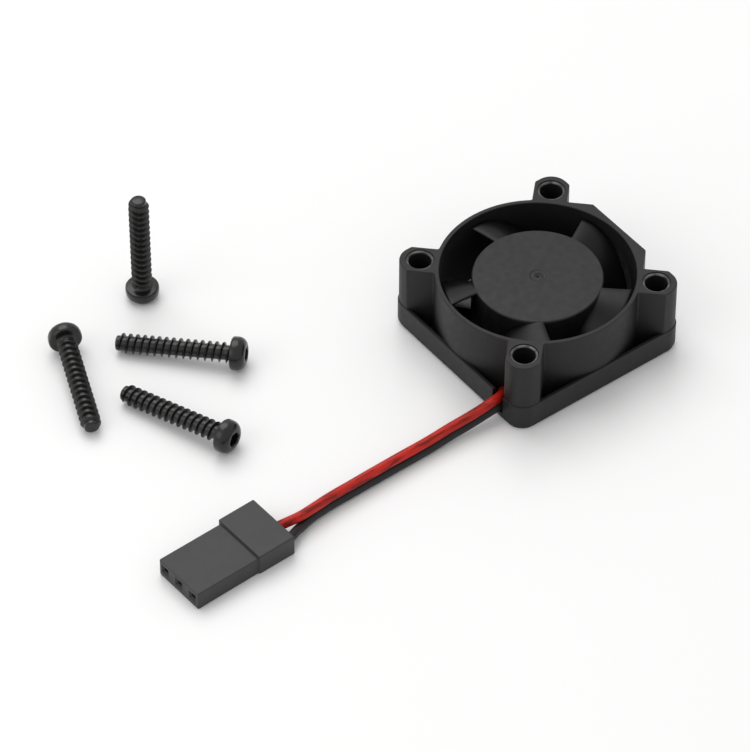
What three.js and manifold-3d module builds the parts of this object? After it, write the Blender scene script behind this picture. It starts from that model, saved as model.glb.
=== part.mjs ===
// A 25 mm axial cooling fan with its two-wire lead, its three-way plug and four loose tapping screws.
// Millimetres, +Z up. The origin is the point where the fan's axis meets its underside.
import * as THREE from "three";
import { mergeVertices } from "three/addons/utils/BufferGeometryUtils.js";
import Module from "manifold-3d";

const wasm = await Module();
wasm.setup();

// ---- driving dimensions ----

// Housing
const SIDE = 25; // square outline of the flange and of the boss corners
const HEIGHT = 10; // full height at the bosses and the duct
const CORNER_R = 2.2;
const HOLE_PITCH = 20; // between screw holes, both ways
const HOLE_R = 1.35;
const HOLE_LEAD_IN_R = 1.7; // mouth of the countersink at the top of each screw hole
const FLANGE_TOP = 3.6;
const RIM_WALL = 0.5; // thickness of the flange's upright rim
const POCKET_FLOOR = 1.0; // top of the flange's floor inside the cored pockets
const FOOT_SETBACK = 0.15; // the lowest band of the flange stands back by this much
const FOOT_HEIGHT = 0.45;
const DUCT_R = 11.75;
const DUCT_OUTER_R = 12.35;
const BOSS_HALF_WIDTH = 2.12; // half the width of the strip that each boss fills along the diagonal
const BOSS_SETBACK = 0.12; // the bosses stand back from the flange's outline by this much
const FLAT_HALF_WIDTH = 5.0; // half the width of the straight wall on the +X side
const FLAT_CHAMFER = 2.05; // how far its 45 degree shoulders run back
const NOTCH = { from: -9.3, to: -7.35 }; // span in Y of the lead's notch in the flange, on the -X side

// Motor base, part of the housing
const BASE_R = 8.0;
const BASE_TOP = 1.0;
const BASE_RIM_TOP = 1.9;
const BASE_RIM_WALL = 0.6;
const STRUT_WIDTH = 1.5;
const STRUT_TOP = 1.2;
const STRUT_ANGLES = [40, 130, 310];
const LEAD_STRUT = { angle: 214, width: 3.7, top: 1.75 }; // the wide strut that carries the lead
const SOCKET_R = 2.03; // bore that holds the bearing tube
const SOCKET_OUTER_R = 2.75;
const SOCKET_TOP = 1.35;
const SEAL = { r: 4.9, recessR: 5.0, recess: 0.15, thick: 0.1 };
const CHANNEL = { from: 5.2, wall: 0.4, top: 0.8 }; // open groove for the lead under its wide strut

// Bearing and stator
const TUBE = { r: 2.0, innerR: 1.56, from: 0.2, to: 7.3 };
const SLEEVE = { r: 1.53, from: 1.5, to: 6.85, boreR: 0.79 };
const THRUST_PAD = { r: 1.5, from: 0.3, to: 0.8 };
const RETAINING_RING = { r: 1.35, innerR: 0.63, from: 1.12, to: 1.32, slot: 0.3 };
const CORE = { r: 5.4, hubR: 2.9, boreR: 2.04, from: 3.6, to: 5.4, neck: 1.3, shoeHalfAngle: 33, shoe: 0.75 };
const INSULATOR = { thick: 0.35, gap: 0.04 };
const COIL = { from: 3.15, to: 4.3, wall: 0.7, clear: 0.08 }; // radial span, winding depth and clearance
const BOARD = { r: 6.3, boreR: 2.85, from: 1.42, to: 1.92, slotWidth: 1, slotDepth: 0.5 };
const DRIVE_CHIP = { size: [2.0, 1.6, 0.45], y: 4.9 };
const CHIP_CAPACITOR = { size: [1.0, 0.5, 0.4], y: -4.9 };
const SOLDER_GAP = 0.04; // between the board and the chips on it

// Rotor
const SHAFT = { r: 0.75, from: 0.84, to: 8.35, grooveR: 0.6, grooveFrom: 1.08, grooveTo: 1.36 };
const HUB = { r: 7.9, top: 9.2, from: 2.3, wall: 0.7, crown: 0.8, edgeR: 0.35, bossR: 2.2, bossFrom: 7.55 };
const GATE_DIMPLE = { r: 0.4, depth: 0.25 };
const YOKE = { r: 7.15, wall: 0.4, from: 2.5, roofHole: 2.25, roofGap: 0.05 };
const OIL_WASHER = { r: 1.35, from: 7.0, to: 7.2 };
const PRESS_GAP = 0.03; // left round the shaft where the impeller and the washer grip it
const MAGNET = { r: 6.7, innerR: 5.7, from: 2.8, to: 7.3 };
const BLADES = 5;
const BLADE = {
  tipR: 11.35,
  rootR: 7.6, // buried in the hub's wall
  firstAngle: 95.5, // where the first blade's upper edge stands at the hub
  lead: 3.5, // degrees by which the upper edge's tip runs ahead of its root
  sweep: 52, // degrees from the upper edge round to the lower edge
  top: 9.3,
  drop: 6.8,
  thick: 0.62,
};

// Lead, plug and contacts
const WIRE_R = 0.6;
const WIRE_SIDES = 8;
const PASSAGE_R = 0.78; // room that the housing leaves round each wire
const PLUG = {
  rear: [-44.92, -8.05], // middle of the rear face
  angle: 2.06,
  length: 14,
  frontWidth: 7.2,
  frontHeight: 2.5,
  rearLength: 5,
  rearWidth: 7.9,
  rearHeight: 2.85,
  pitch: 2.54,
  axisHeight: 1.3, // of the three sockets above the plug's underside
  bevel: 0.25,
  rampRun: 0.3, // slope in front of the raised rear part
  rampRise: 0.25,
  chamberHalfWidth: 0.83,
  chamberHalfHeight: 0.8,
  mouthHalf: 0.45,
  frontWall: 1, // thickness of the wall that the mouths pass through
};
const CONTACT = { size: 1.3, boxLength: 7.2, mouth: 0.75, setback: 2.4, barrelR: 0.5, barrelLength: 2.2 };

// Screws
const SCREW = { length: 15.95, headR: 2.05, head: 1.8, crestR: 1.25, coreR: 0.95, pitch: 0.88, socket: 1.6 };
const SCREW_SIDES = 8;
const FLOOR_GAP = 0.01;
const STANDING_SCREW = [-34.24, 33.44];
const LYING_SCREWS = [
  { name: "mounting_screw_2", tip: [-52.5, 17.79], heading: 67.9 },
  { name: "mounting_screw_3", tip: [-42.08, 27.77], heading: -47.7 },
  { name: "mounting_screw_4", tip: [-46.2, 20.4], heading: -70.2 },
];

// Facets of large and of small round shapes
const ROUND = 60;
const SMALL_ROUND = 24;

// How far joined pieces run into each other, and how far a cutter runs past what it cuts
const OVERLAP = 0.1;
const PAST = 1;

// ---- materials ----

const finish = (color, roughness, metalness) => new THREE.MeshStandardMaterial({ color, roughness, metalness });
const BLACK_PLASTIC = finish(0x26272a, 0.5, 0);
const ROTOR_PLASTIC = finish(0x2b2c2f, 0.45, 0);
const PLUG_PLASTIC = finish(0x2e2e30, 0.4, 0);
const RED_PVC = finish(0xbe2419, 0.35, 0);
const BLACK_PVC = finish(0x222222, 0.4, 0);
const BLACK_OXIDE = finish(0x1c1c1e, 0.35, 0.8);
const STEEL = finish(0x9a9da1, 0.35, 0.9);
const BRASS = finish(0xb8923f, 0.35, 0.9);
const BRONZE = finish(0x8a6238, 0.6, 0.7);
const MAGNET_BROWN = finish(0x3a2a22, 0.7, 0.1);
const COPPER = finish(0xb45a2a, 0.35, 0.8);
const NATURAL_NYLON = finish(0xd8d4c4, 0.5, 0);
const BOARD_GREEN = finish(0x1d5a34, 0.45, 0);
const CHIP_BLACK = finish(0x151515, 0.4, 0);
const CERAMIC_TAN = finish(0x9c7b52, 0.5, 0);
const GREY_FILM = finish(0xa9abad, 0.4, 0.2);

// ---- geometry helpers ----

const rad = THREE.MathUtils.degToRad;
const polar = (r, degrees) => [r * Math.cos(rad(degrees)), r * Math.sin(rad(degrees))];

// The geometry with positions only, shared vertices merged, no collapsed triangles and faces pointing out.
function weld(geometry) {
  const bare = new THREE.BufferGeometry().setAttribute("position", geometry.getAttribute("position").clone());
  bare.setIndex(geometry.index);
  const merged = mergeVertices(bare, 1e-4);
  const source = merged.index.array;
  const kept = [];
  const corner = [new THREE.Vector3(), new THREE.Vector3(), new THREE.Vector3()];
  let volume = 0;
  for (let i = 0; i < source.length; i += 3) {
    const [a, b, c] = [source[i], source[i + 1], source[i + 2]];
    if (a === b || b === c || c === a) continue;
    kept.push(a, b, c);
    [a, b, c].forEach((v, k) => corner[k].fromBufferAttribute(merged.attributes.position, v));
    volume += corner[0].dot(corner[1].cross(corner[2])) / 6;
  }
  if (volume < 0) kept.reverse();
  return merged.setIndex(kept);
}

function toSolid(geometry) {
  const g = weld(geometry);
  return new wasm.Manifold(
    new wasm.Mesh({
      numProp: 3,
      vertProperties: new Float32Array(g.attributes.position.array),
      triVerts: new Uint32Array(g.index.array),
    }),
  );
}

function toGeometry(solid) {
  const mesh = solid.getMesh();
  const positions = new THREE.BufferAttribute(new Float32Array(mesh.vertProperties), 3);
  return new THREE.BufferGeometry()
    .setAttribute("position", positions)
    .setIndex(new THREE.BufferAttribute(new Uint32Array(mesh.triVerts), 1));
}

const join = (...geometries) => toGeometry(geometries.map(toSolid).reduce((a, b) => a.add(b)));
const cut = (body, ...tools) => toGeometry(tools.map(toSolid).reduce((a, b) => a.subtract(b), toSolid(body)));
const common = (a, b) => toGeometry(toSolid(a).intersect(toSolid(b)));

// A solid of revolution about Z from [radius, z] points. A profile clear of the axis is closed on itself.
function turned(profile, segments = 36) {
  const closed = profile[0][0] === 0 ? profile : [...profile, profile[0]];
  const points = closed.map(([r, z]) => new THREE.Vector2(r, z));
  return weld(new THREE.LatheGeometry(points, segments).rotateX(Math.PI / 2));
}

const ring = (innerR, outerR, from, to, segments) =>
  turned([[innerR, from], [outerR, from], [outerR, to], [innerR, to]], segments);
const disc = (r, from, to, segments) => turned([[0, from], [r, from], [r, to], [0, to]], segments);

function shapeOf(points) {
  return new THREE.Shape(points.map(([x, y]) => new THREE.Vector2(x, y)));
}

function prism(shape, from, to, curveSegments = 12) {
  const geometry = new THREE.ExtrudeGeometry(shape, { depth: to - from, bevelEnabled: false, curveSegments });
  return geometry.translate(0, 0, from);
}

function box(from, to) {
  const size = to.map((v, i) => v - from[i]);
  const middle = to.map((v, i) => (v + from[i]) / 2);
  return new THREE.BoxGeometry(...size).translate(...middle);
}

// A bar along a radius: from inner to outer radius, centred on the given angle.
function spoke(angle, innerR, outerR, width, from, to) {
  return box([innerR, -width / 2, from], [outerR, width / 2, to]).rotateZ(rad(angle));
}

function roundedSquare(half, r) {
  const shape = new THREE.Shape();
  const k = half - r;
  shape.absarc(k, k, r, 0, Math.PI / 2);
  shape.absarc(-k, k, r, Math.PI / 2, Math.PI);
  shape.absarc(-k, -k, r, Math.PI, 1.5 * Math.PI);
  shape.absarc(k, -k, r, 1.5 * Math.PI, 2 * Math.PI);
  return shape;
}

// A tube along a smooth curve through the points.
function tube(points, r, sides, steps) {
  const path = new THREE.CatmullRomCurve3(points.map((p) => new THREE.Vector3(...p)), false, "centripetal");
  const section = new THREE.Shape();
  for (let i = 0; i < sides; i++) {
    const [x, y] = polar(r, (360 * i) / sides);
    if (i === 0) section.moveTo(x, y);
    else section.lineTo(x, y);
  }
  return weld(new THREE.ExtrudeGeometry(section, { steps, extrudePath: path }));
}

function piece(name, geometry, material) {
  const mesh = new THREE.Mesh(geometry, material);
  mesh.name = name;
  return mesh;
}

// ---- the lead's route ----

// Under the wide strut, up through the flange's pocket, out of the notch, down to the surface and into the plug.
const WIRE_IN_HOUSING = {
  red: [[-5.0, -2.59, 0.75], [-6.99, -3.93, 0.75], [-9.0, -5.45, 0.8], [-10.4, -6.75, 1.5], [-11.6, -7.85, 2.38]],
  black: [[-4.28, -3.67, 0.75], [-6.27, -5.01, 0.75], [-8.4, -6.6, 0.8], [-9.8, -7.68, 0.92], [-11.2, -8.42, 1.33]],
};
const WIRE_OUTSIDE = {
  red: [
    [-12.97, -8.4, 2.84], [-14.5, -8.4, 2.62], [-16.1, -8.34, 2.38], [-19.5, -8.21, 2.07], [-22.5, -8.24, 1.89],
    [-26.9, -8.27, 1.86], [-30.6, -8.33, 1.86], [-34.3, -8.43, 1.86], [-37.3, -8.53, 1.9], [-40.4, -8.85, 2.0],
    [-42.0, -8.88, 1.93], [-43.2, -8.55, 1.64], [-44.4, -8.2, 1.35], [-45.3, -8.08, 1.3], [-46.9, -8.12, 1.3],
  ],
  black: [
    [-12.6, -8.5, 1.61], [-14.3, -8.43, 1.38], [-16.1, -8.38, 1.14], [-19.5, -8.28, 0.83], [-22.5, -8.32, 0.65],
    [-26.9, -8.37, 0.62], [-30.6, -8.43, 0.62], [-34.3, -8.5, 0.62], [-37.3, -8.6, 0.66], [-40.4, -8.97, 0.76],
    [-42.1, -9.45, 0.85], [-43.2, -9.85, 1.03], [-44.2, -10.33, 1.23], [-45.2, -10.62, 1.3], [-46.9, -10.66, 1.3],
  ],
};
const WIRE_STEPS = 40;

const wire = (colour) =>
  tube([...WIRE_IN_HOUSING[colour], ...WIRE_OUTSIDE[colour]], WIRE_R, WIRE_SIDES, WIRE_STEPS);
const wirePassage = (colour) =>
  tube([...WIRE_IN_HOUSING[colour], ...WIRE_OUTSIDE[colour].slice(0, 2)], PASSAGE_R, WIRE_SIDES, 14);

// ---- housing ----

function flange() {
  const outline = roundedSquare(SIDE / 2, CORNER_R);
  const foot = roundedSquare(SIDE / 2 - FOOT_SETBACK, CORNER_R - FOOT_SETBACK);
  const well = roundedSquare(SIDE / 2 - RIM_WALL, CORNER_R - RIM_WALL);
  const block = join(prism(foot, 0, FOOT_HEIGHT + OVERLAP, 5), prism(outline, FOOT_HEIGHT, FLANGE_TOP, 5));
  const notchEnd = -SIDE / 2 + RIM_WALL + PAST / 2;
  const notch = box([-SIDE, NOTCH.from, POCKET_FLOOR], [notchEnd, NOTCH.to, FLANGE_TOP + PAST]);
  return cut(block, prism(well, POCKET_FLOOR, FLANGE_TOP + PAST, 3), notch);
}

// The four corner bosses: a strip along each diagonal, clipped by a square outline.
function bosses() {
  const square = prism(roundedSquare(SIDE / 2 - BOSS_SETBACK, CORNER_R), FOOT_HEIGHT, HEIGHT, 5);
  const strip = (angle) => spoke(angle, -SIDE, SIDE, 2 * BOSS_HALF_WIDTH, 0, HEIGHT + PAST);
  return common(square, join(strip(45), strip(135)));
}

function straightWall() {
  const x = SIDE / 2;
  const y = FLAT_HALF_WIDTH;
  const c = FLAT_CHAMFER;
  const inner = x - c - 1; // inside the duct's wall, which the bore then cuts back
  return prism(shapeOf([[inner, -y - c], [x - c, -y - c], [x, -y], [x, y], [x - c, y + c], [inner, y + c]]),
    FOOT_HEIGHT, HEIGHT);
}

function screwHoles() {
  const leadIn = HOLE_LEAD_IN_R - HOLE_R;
  const hole = turned([[0, -PAST], [HOLE_R, -PAST], [HOLE_R, HEIGHT - leadIn],
    [HOLE_LEAD_IN_R + PAST, HEIGHT + PAST], [0, HEIGHT + PAST]], SMALL_ROUND);
  const half = HOLE_PITCH / 2;
  return [[half, half], [-half, half], [-half, -half], [half, -half]]
    .map(([x, y]) => hole.clone().translate(x, y, 0));
}

function motorBase() {
  const cup = turned([
    [SOCKET_R, 0], [BASE_R, 0], [BASE_R, BASE_RIM_TOP], [BASE_R - BASE_RIM_WALL, BASE_RIM_TOP],
    [BASE_R - BASE_RIM_WALL, BASE_TOP], [SOCKET_OUTER_R, BASE_TOP], [SOCKET_OUTER_R, SOCKET_TOP],
    [SOCKET_R, SOCKET_TOP],
  ], ROUND);
  const reach = (DUCT_R + DUCT_OUTER_R) / 2;
  const inner = BASE_R - BASE_RIM_WALL / 2;
  const struts = STRUT_ANGLES.map((a) => spoke(a, inner, reach, STRUT_WIDTH, 0, STRUT_TOP));
  const leadStrut = spoke(LEAD_STRUT.angle, inner, reach, LEAD_STRUT.width, 0, LEAD_STRUT.top);
  return join(cup, ...struts, leadStrut);
}

function housing() {
  const duct = ring(DUCT_R - OVERLAP, DUCT_OUTER_R, 0, HEIGHT, ROUND);
  const shell = join(flange(), duct, bosses(), straightWall());
  const framed = cut(shell, disc(DUCT_R, -PAST, HEIGHT + PAST, ROUND), ...screwHoles());
  const whole = join(framed, motorBase());
  const channelWidth = LEAD_STRUT.width - 2 * CHANNEL.wall;
  const channel = spoke(LEAD_STRUT.angle, CHANNEL.from, DUCT_R, channelWidth, -PAST, CHANNEL.top);
  const recess = disc(SEAL.recessR, -PAST, SEAL.recess, 36);
  return cut(whole, channel, wirePassage("red"), wirePassage("black"), recess);
}

// ---- bearing and stator ----

function retainingRing() {
  const { r, innerR, from, to, slot } = RETAINING_RING;
  return cut(ring(innerR, r, from, to, SMALL_ROUND), box([0, -slot / 2, 0], [r + PAST, slot / 2, to + PAST]));
}

// The outline of the four-pole core: a round hub, four necks and four curved shoes.
function stator(from, to, grow) {
  const { r, hubR, boreR, neck, shoeHalfAngle, shoe } = CORE;
  const outer = r + grow / 4;
  const parts = [ring(boreR, hubR, from, to, SMALL_ROUND)];
  for (let pole = 0; pole < 4; pole++) {
    const middle = 90 * pole + 45;
    parts.push(spoke(middle, hubR - OVERLAP, r - shoe / 2, neck + grow, from, to));
    const arc = [];
    for (let i = 0; i <= 6; i++) arc.push(polar(outer, middle - shoeHalfAngle + (i * shoeHalfAngle) / 3));
    for (let i = 6; i >= 0; i--) arc.push(polar(r - shoe, middle - shoeHalfAngle + (i * shoeHalfAngle) / 3));
    parts.push(prism(shapeOf(arc), from, to));
  }
  return join(...parts);
}

// One winding: a rectangular loop round a pole's neck, lying across the radius.
function coil(pole) {
  const { from, to, wall, clear } = COIL;
  const halfWidth = CORE.neck / 2 + clear;
  const low = CORE.from - INSULATOR.thick - INSULATOR.gap - clear;
  const high = CORE.to + INSULATOR.thick + INSULATOR.gap + clear;
  const loop = cut(
    box([from, -halfWidth - wall, low - wall], [to, halfWidth + wall, high + wall]),
    box([from - PAST, -halfWidth, low], [to + PAST, halfWidth, high]),
  );
  return loop.rotateZ(rad(90 * pole + 45));
}

function circuitBoard() {
  const { r, boreR, from, to, slotWidth, slotDepth } = BOARD;
  const slot = box([-r - PAST, -slotWidth / 2, 0], [-r + slotDepth, slotWidth / 2, to + PAST]);
  return cut(ring(boreR, r, from, to, 36), slot);
}

// ---- rotor ----

// A blade: its upper edge is nearly level, and it steepens towards its lower edge.
function blade(index) {
  const { tipR, rootR, firstAngle, lead, sweep, top, drop, thick } = BLADE;
  const across = 3;
  const along = 10;
  const positions = [];
  const triangles = [];
  const point = (u, v, side) => {
    const r = rootR + (tipR - rootR) * u;
    const angle = firstAngle + (360 / BLADES) * index + lead * u - sweep * v;
    const slope = Math.atan2(2 * drop * v, r * rad(sweep));
    const taper = 1 - 0.35 * Math.abs(2 * v - 1);
    const offset = (side * thick * taper) / 2;
    const [x, y] = polar(r, angle);
    const [tx, ty] = polar(1, angle - 90);
    const z = top - thick / 2 - drop * v * v;
    return [x + tx * offset * Math.sin(slope), y + ty * offset * Math.sin(slope), z + offset * Math.cos(slope)];
  };
  const at = (i, j, side) => (i * (along + 1) + j) * 2 + (side > 0 ? 1 : 0);
  for (let i = 0; i <= across; i++) {
    for (let j = 0; j <= along; j++) {
      positions.push(...point(i / across, j / along, -1), ...point(i / across, j / along, 1));
    }
  }
  const quad = (a, b, c, d) => triangles.push(a, b, c, a, c, d);
  for (let i = 0; i < across; i++) {
    for (let j = 0; j < along; j++) {
      quad(at(i, j, 1), at(i + 1, j, 1), at(i + 1, j + 1, 1), at(i, j + 1, 1));
      quad(at(i, j, -1), at(i, j + 1, -1), at(i + 1, j + 1, -1), at(i + 1, j, -1));
    }
    quad(at(i, 0, -1), at(i + 1, 0, -1), at(i + 1, 0, 1), at(i, 0, 1));
    quad(at(i, along, 1), at(i + 1, along, 1), at(i + 1, along, -1), at(i, along, -1));
  }
  for (let j = 0; j < along; j++) {
    quad(at(0, j, 1), at(0, j + 1, 1), at(0, j + 1, -1), at(0, j, -1));
    quad(at(across, j, -1), at(across, j + 1, -1), at(across, j + 1, 1), at(across, j, 1));
  }
  const geometry = new THREE.BufferGeometry();
  geometry.setAttribute("position", new THREE.Float32BufferAttribute(positions, 3));
  return weld(geometry.setIndex(triangles));
}

function impeller() {
  const { r, top, from, wall, crown, edgeR, bossR, bossFrom } = HUB;
  const cap = turned([
    [0, bossFrom], [bossR, bossFrom], [bossR, top - crown], [r - wall, top - crown], [r - wall, from],
    [r, from], [r, top - edgeR], [r - 0.1, top - 0.1], [r - edgeR, top], [0, top],
  ], ROUND);
  const blades = Array.from({ length: BLADES }, (_, i) => blade(i));
  const dimple = disc(GATE_DIMPLE.r, top - GATE_DIMPLE.depth, top + PAST, 16);
  const bore = disc(SHAFT.r + PRESS_GAP, 0, SHAFT.to + PRESS_GAP, SMALL_ROUND);
  const inside = disc(r - wall, 0, top - crown - OVERLAP, ROUND);
  const swept = cut(join(...blades, ring(r - 2 * OVERLAP, r, from, top - edgeR, ROUND)), inside);
  return cut(join(cap, swept), dimple, bore);
}

function rotorYoke() {
  const { r, wall, from, roofHole, roofGap } = YOKE;
  const top = HUB.top - HUB.crown - roofGap;
  const inner = r - wall;
  return turned([
    [roofHole, top - wall], [inner, top - wall], [inner, from], [r, from], [r, top], [roofHole, top],
  ]);
}

function shaft() {
  const { r, from, to, grooveR, grooveFrom, grooveTo } = SHAFT;
  return turned([
    [0, from], [r - 0.2, from], [r - 0.05, from + 0.08], [r - 0.05, grooveFrom], [grooveR, grooveFrom],
    [grooveR, grooveTo], [r, grooveTo], [r, to - 0.1], [r - 0.1, to], [0, to],
  ], SMALL_ROUND);
}

// ---- plug ----

// The plug's own frame: X = 0 at the rear face where the wires enter, the sockets face -X.
function plugHousing() {
  const { length, frontWidth, frontHeight, rearLength, rearWidth, rearHeight, bevel, rampRun, rampRise } = PLUG;
  const { pitch, axisHeight, chamberHalfWidth, chamberHalfHeight, mouthHalf, frontWall } = PLUG;
  const section = (near, far, height) => shapeOf([
    [near + bevel, 0], [far - bevel, 0], [far, bevel], [far, height - bevel], [far - bevel, height],
    [near + bevel, height], [near, height - bevel], [near, bevel],
  ]);
  const alongX = (shape, from, to) => prism(shape, from, to).rotateZ(Math.PI / 2).rotateY(Math.PI / 2);
  const near = -frontWidth / 2;
  const front = alongX(section(near, -near, frontHeight), -length, 0);
  const rear = alongX(section(-rearWidth / 2, rearWidth / 2, rearHeight), -rearLength, 0);
  const slope = shapeOf([
    [-rampRun, -OVERLAP], [OVERLAP, -OVERLAP], [OVERLAP, rampRise], [0, rampRise], [-rampRun, 0],
  ]);
  const ramp = prism(slope, near + bevel, -near - bevel).rotateX(Math.PI / 2);
  ramp.translate(-rearLength, 0, frontHeight);
  const cavities = [-1, 0, 1].flatMap((i) => {
    const y = i * pitch;
    const z = axisHeight;
    return [
      box([-length + frontWall, y - chamberHalfWidth, z - chamberHalfHeight],
        [PAST, y + chamberHalfWidth, z + chamberHalfHeight]),
      box([-length - PAST, y - mouthHalf, z - mouthHalf],
        [-length + frontWall + PAST, y + mouthHalf, z + mouthHalf]),
    ];
  });
  return cut(join(front, rear, ramp), ...cavities);
}

// A crimped socket contact: a square box with an open mouth, and the barrel that grips the wire.
function contact(socket) {
  const { size, boxLength, mouth, setback, barrelR, barrelLength } = CONTACT;
  const back = -setback;
  const barrel = disc(barrelR, 0, barrelLength + OVERLAP, 12).rotateY(-Math.PI / 2).translate(back, 0, 0);
  const front = back - barrelLength - boxLength;
  const body = box([front, -size / 2, -size / 2], [front + boxLength, size / 2, size / 2]);
  const opening = box([front - PAST, -mouth / 2, -mouth / 2], [front + boxLength * 0.8, mouth / 2, mouth / 2]);
  return cut(join(barrel, body), opening).translate(0, socket * PLUG.pitch, PLUG.axisHeight);
}

// ---- screws ----

// A tapping screw along +Z with its tip at z = 0 and its head at the top.
function screw() {
  const { length, headR, head, crestR, coreR, pitch, socket } = SCREW;
  const under = length - head;
  const profile = [[0, 0], [coreR - 0.1, 0]];
  const turns = Math.floor((under - 0.3) / pitch);
  for (let i = 0; i < turns; i++) {
    const z = 0.1 + pitch * i;
    profile.push([coreR, z], [crestR, z + pitch / 2]);
  }
  profile.push([coreR, under - 0.2], [coreR + 0.15, under], [headR, under], [headR, length - 1.1],
    [headR - 0.25, length - 0.4], [headR - 0.75, length], [0, length]);
  const recess = new THREE.CylinderGeometry(socket / Math.sqrt(3), socket / Math.sqrt(3), 2.4, 6);
  return cut(turned(profile, SCREW_SIDES), recess.rotateX(Math.PI / 2).translate(0, 0, length));
}

// A lying screw touches the surface with its head's rim and with the thread at its tip.
function lyingScrew(geometry, { name, tip, heading }) {
  const { length, headR, head, crestR, pitch } = SCREW;
  const firstCrest = 0.1 + pitch / 2;
  const under = length - head;
  const tilt = Math.atan2(headR - crestR, under - firstCrest);
  const mesh = piece(name, geometry.clone(), BLACK_OXIDE);
  mesh.rotation.set(0, Math.PI / 2 - tilt, 0);
  const stand = new THREE.Group();
  stand.add(mesh);
  stand.position.set(tip[0], tip[1], headR * Math.cos(tilt) - under * Math.sin(tilt) + FLOOR_GAP);
  stand.rotation.z = rad(heading);
  return stand;
}

// ---- assembly ----

const fan = new THREE.Group();
fan.add(
  piece("housing", housing(), BLACK_PLASTIC),
  piece("base_seal", disc(SEAL.r, 0, SEAL.thick, ROUND), GREY_FILM),
  piece("bearing_tube", ring(TUBE.innerR, TUBE.r, TUBE.from, TUBE.to, SMALL_ROUND), BRASS),
  piece("sleeve_bearing", ring(SLEEVE.boreR, SLEEVE.r, SLEEVE.from, SLEEVE.to, SMALL_ROUND), BRONZE),
  piece("thrust_pad", disc(THRUST_PAD.r, THRUST_PAD.from, THRUST_PAD.to, SMALL_ROUND), NATURAL_NYLON),
  piece("retaining_ring", retainingRing(), NATURAL_NYLON),
  piece("stator_core", stator(CORE.from, CORE.to, 0), STEEL),
);
const insulatorLift = CORE.to - CORE.from + INSULATOR.thick + 2 * INSULATOR.gap;
const lowerInsulator = stator(CORE.from - INSULATOR.thick - INSULATOR.gap, CORE.from - INSULATOR.gap, -0.1);
fan.add(
  piece("lower_insulator", lowerInsulator, NATURAL_NYLON),
  piece("upper_insulator", lowerInsulator.clone().translate(0, 0, insulatorLift), NATURAL_NYLON),
  piece("circuit_board", circuitBoard(), BOARD_GREEN),
);
for (let pole = 0; pole < 4; pole++) fan.add(piece(`coil_${pole + 1}`, coil(pole), COPPER));

for (const [name, { size, y }, material] of [
  ["drive_chip", DRIVE_CHIP, CHIP_BLACK], ["chip_capacitor", CHIP_CAPACITOR, CERAMIC_TAN],
]) {
  const chip = piece(name, new THREE.BoxGeometry(...size), material);
  chip.position.set(0, y, BOARD.to + SOLDER_GAP + size[2] / 2);
  fan.add(chip);
}

const washer = ring(SHAFT.r + PRESS_GAP, OIL_WASHER.r, OIL_WASHER.from, OIL_WASHER.to, SMALL_ROUND);
const rotor = new THREE.Group();
rotor.add(
  piece("impeller", impeller(), ROTOR_PLASTIC),
  piece("rotor_yoke", rotorYoke(), STEEL),
  piece("magnet_ring", ring(MAGNET.innerR, MAGNET.r, MAGNET.from, MAGNET.to, 36), MAGNET_BROWN),
  piece("shaft", shaft(), STEEL),
  piece("oil_washer", washer, NATURAL_NYLON),
);
fan.add(rotor);

fan.add(piece("wire_red", wire("red"), RED_PVC), piece("wire_black", wire("black"), BLACK_PVC));

const plug = new THREE.Group();
plug.position.set(PLUG.rear[0], PLUG.rear[1], 0);
plug.rotation.z = rad(PLUG.angle);
plug.add(
  piece("plug_housing", plugHousing(), PLUG_PLASTIC),
  piece("contact_positive", contact(0), BRASS),
  piece("contact_negative", contact(-1), BRASS),
);
fan.add(plug);

const screwGeometry = screw();
const standing = piece("mounting_screw_1", screwGeometry.clone().rotateX(Math.PI), BLACK_OXIDE);
standing.position.set(STANDING_SCREW[0], STANDING_SCREW[1], SCREW.length + FLOOR_GAP);
fan.add(standing, ...LYING_SCREWS.map((place) => lyingScrew(screwGeometry, place)));

export default fan;
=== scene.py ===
"""Finished surfaces of a small axial fan with its lead, plug and four tapping screws.

Sizes are in millimetres in the dataclasses and become metres when a mesh is made. The fan's axis is Z,
its underside lies on Z = 0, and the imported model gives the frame, the bodies and the hidden inner parts.
"""

from __future__ import annotations

import logging
import math
from dataclasses import dataclass, field
from enum import Enum
from typing import Iterable, Sequence

import bmesh
import bpy
from mathutils import Matrix, Vector

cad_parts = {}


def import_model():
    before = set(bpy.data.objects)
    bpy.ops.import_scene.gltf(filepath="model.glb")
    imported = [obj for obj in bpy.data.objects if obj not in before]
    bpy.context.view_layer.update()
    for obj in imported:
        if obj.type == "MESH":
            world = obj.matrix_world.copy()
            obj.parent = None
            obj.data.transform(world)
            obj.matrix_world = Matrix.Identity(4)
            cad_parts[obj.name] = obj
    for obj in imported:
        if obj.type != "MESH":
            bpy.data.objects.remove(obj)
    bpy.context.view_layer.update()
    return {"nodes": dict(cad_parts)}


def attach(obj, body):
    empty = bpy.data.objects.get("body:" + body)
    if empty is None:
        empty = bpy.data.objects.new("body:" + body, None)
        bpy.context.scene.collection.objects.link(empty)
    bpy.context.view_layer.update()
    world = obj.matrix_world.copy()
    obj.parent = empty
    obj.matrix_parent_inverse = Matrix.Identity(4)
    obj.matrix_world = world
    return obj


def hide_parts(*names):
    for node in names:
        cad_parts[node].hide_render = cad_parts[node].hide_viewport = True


LOG = logging.getLogger("fan_kit")
MM = 0.001
Point2 = tuple[float, float]
Point3 = tuple[float, float, float]
Colour = tuple[float, float, float]
Socket = bpy.types.NodeSocket
Thing = bpy.types.Object


# ---- finishes


class Surface(Enum):
    """How a finish is textured."""

    MOULDED = "moulded plastic with a fine spark-eroded grain"
    INSULATION = "soft extruded wire insulation"
    OXIDE = "black oxide on steel"
    METAL = "bare metal"
    LAMINATE = "circuit board or film"
    WOUND = "enamelled winding"


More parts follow.
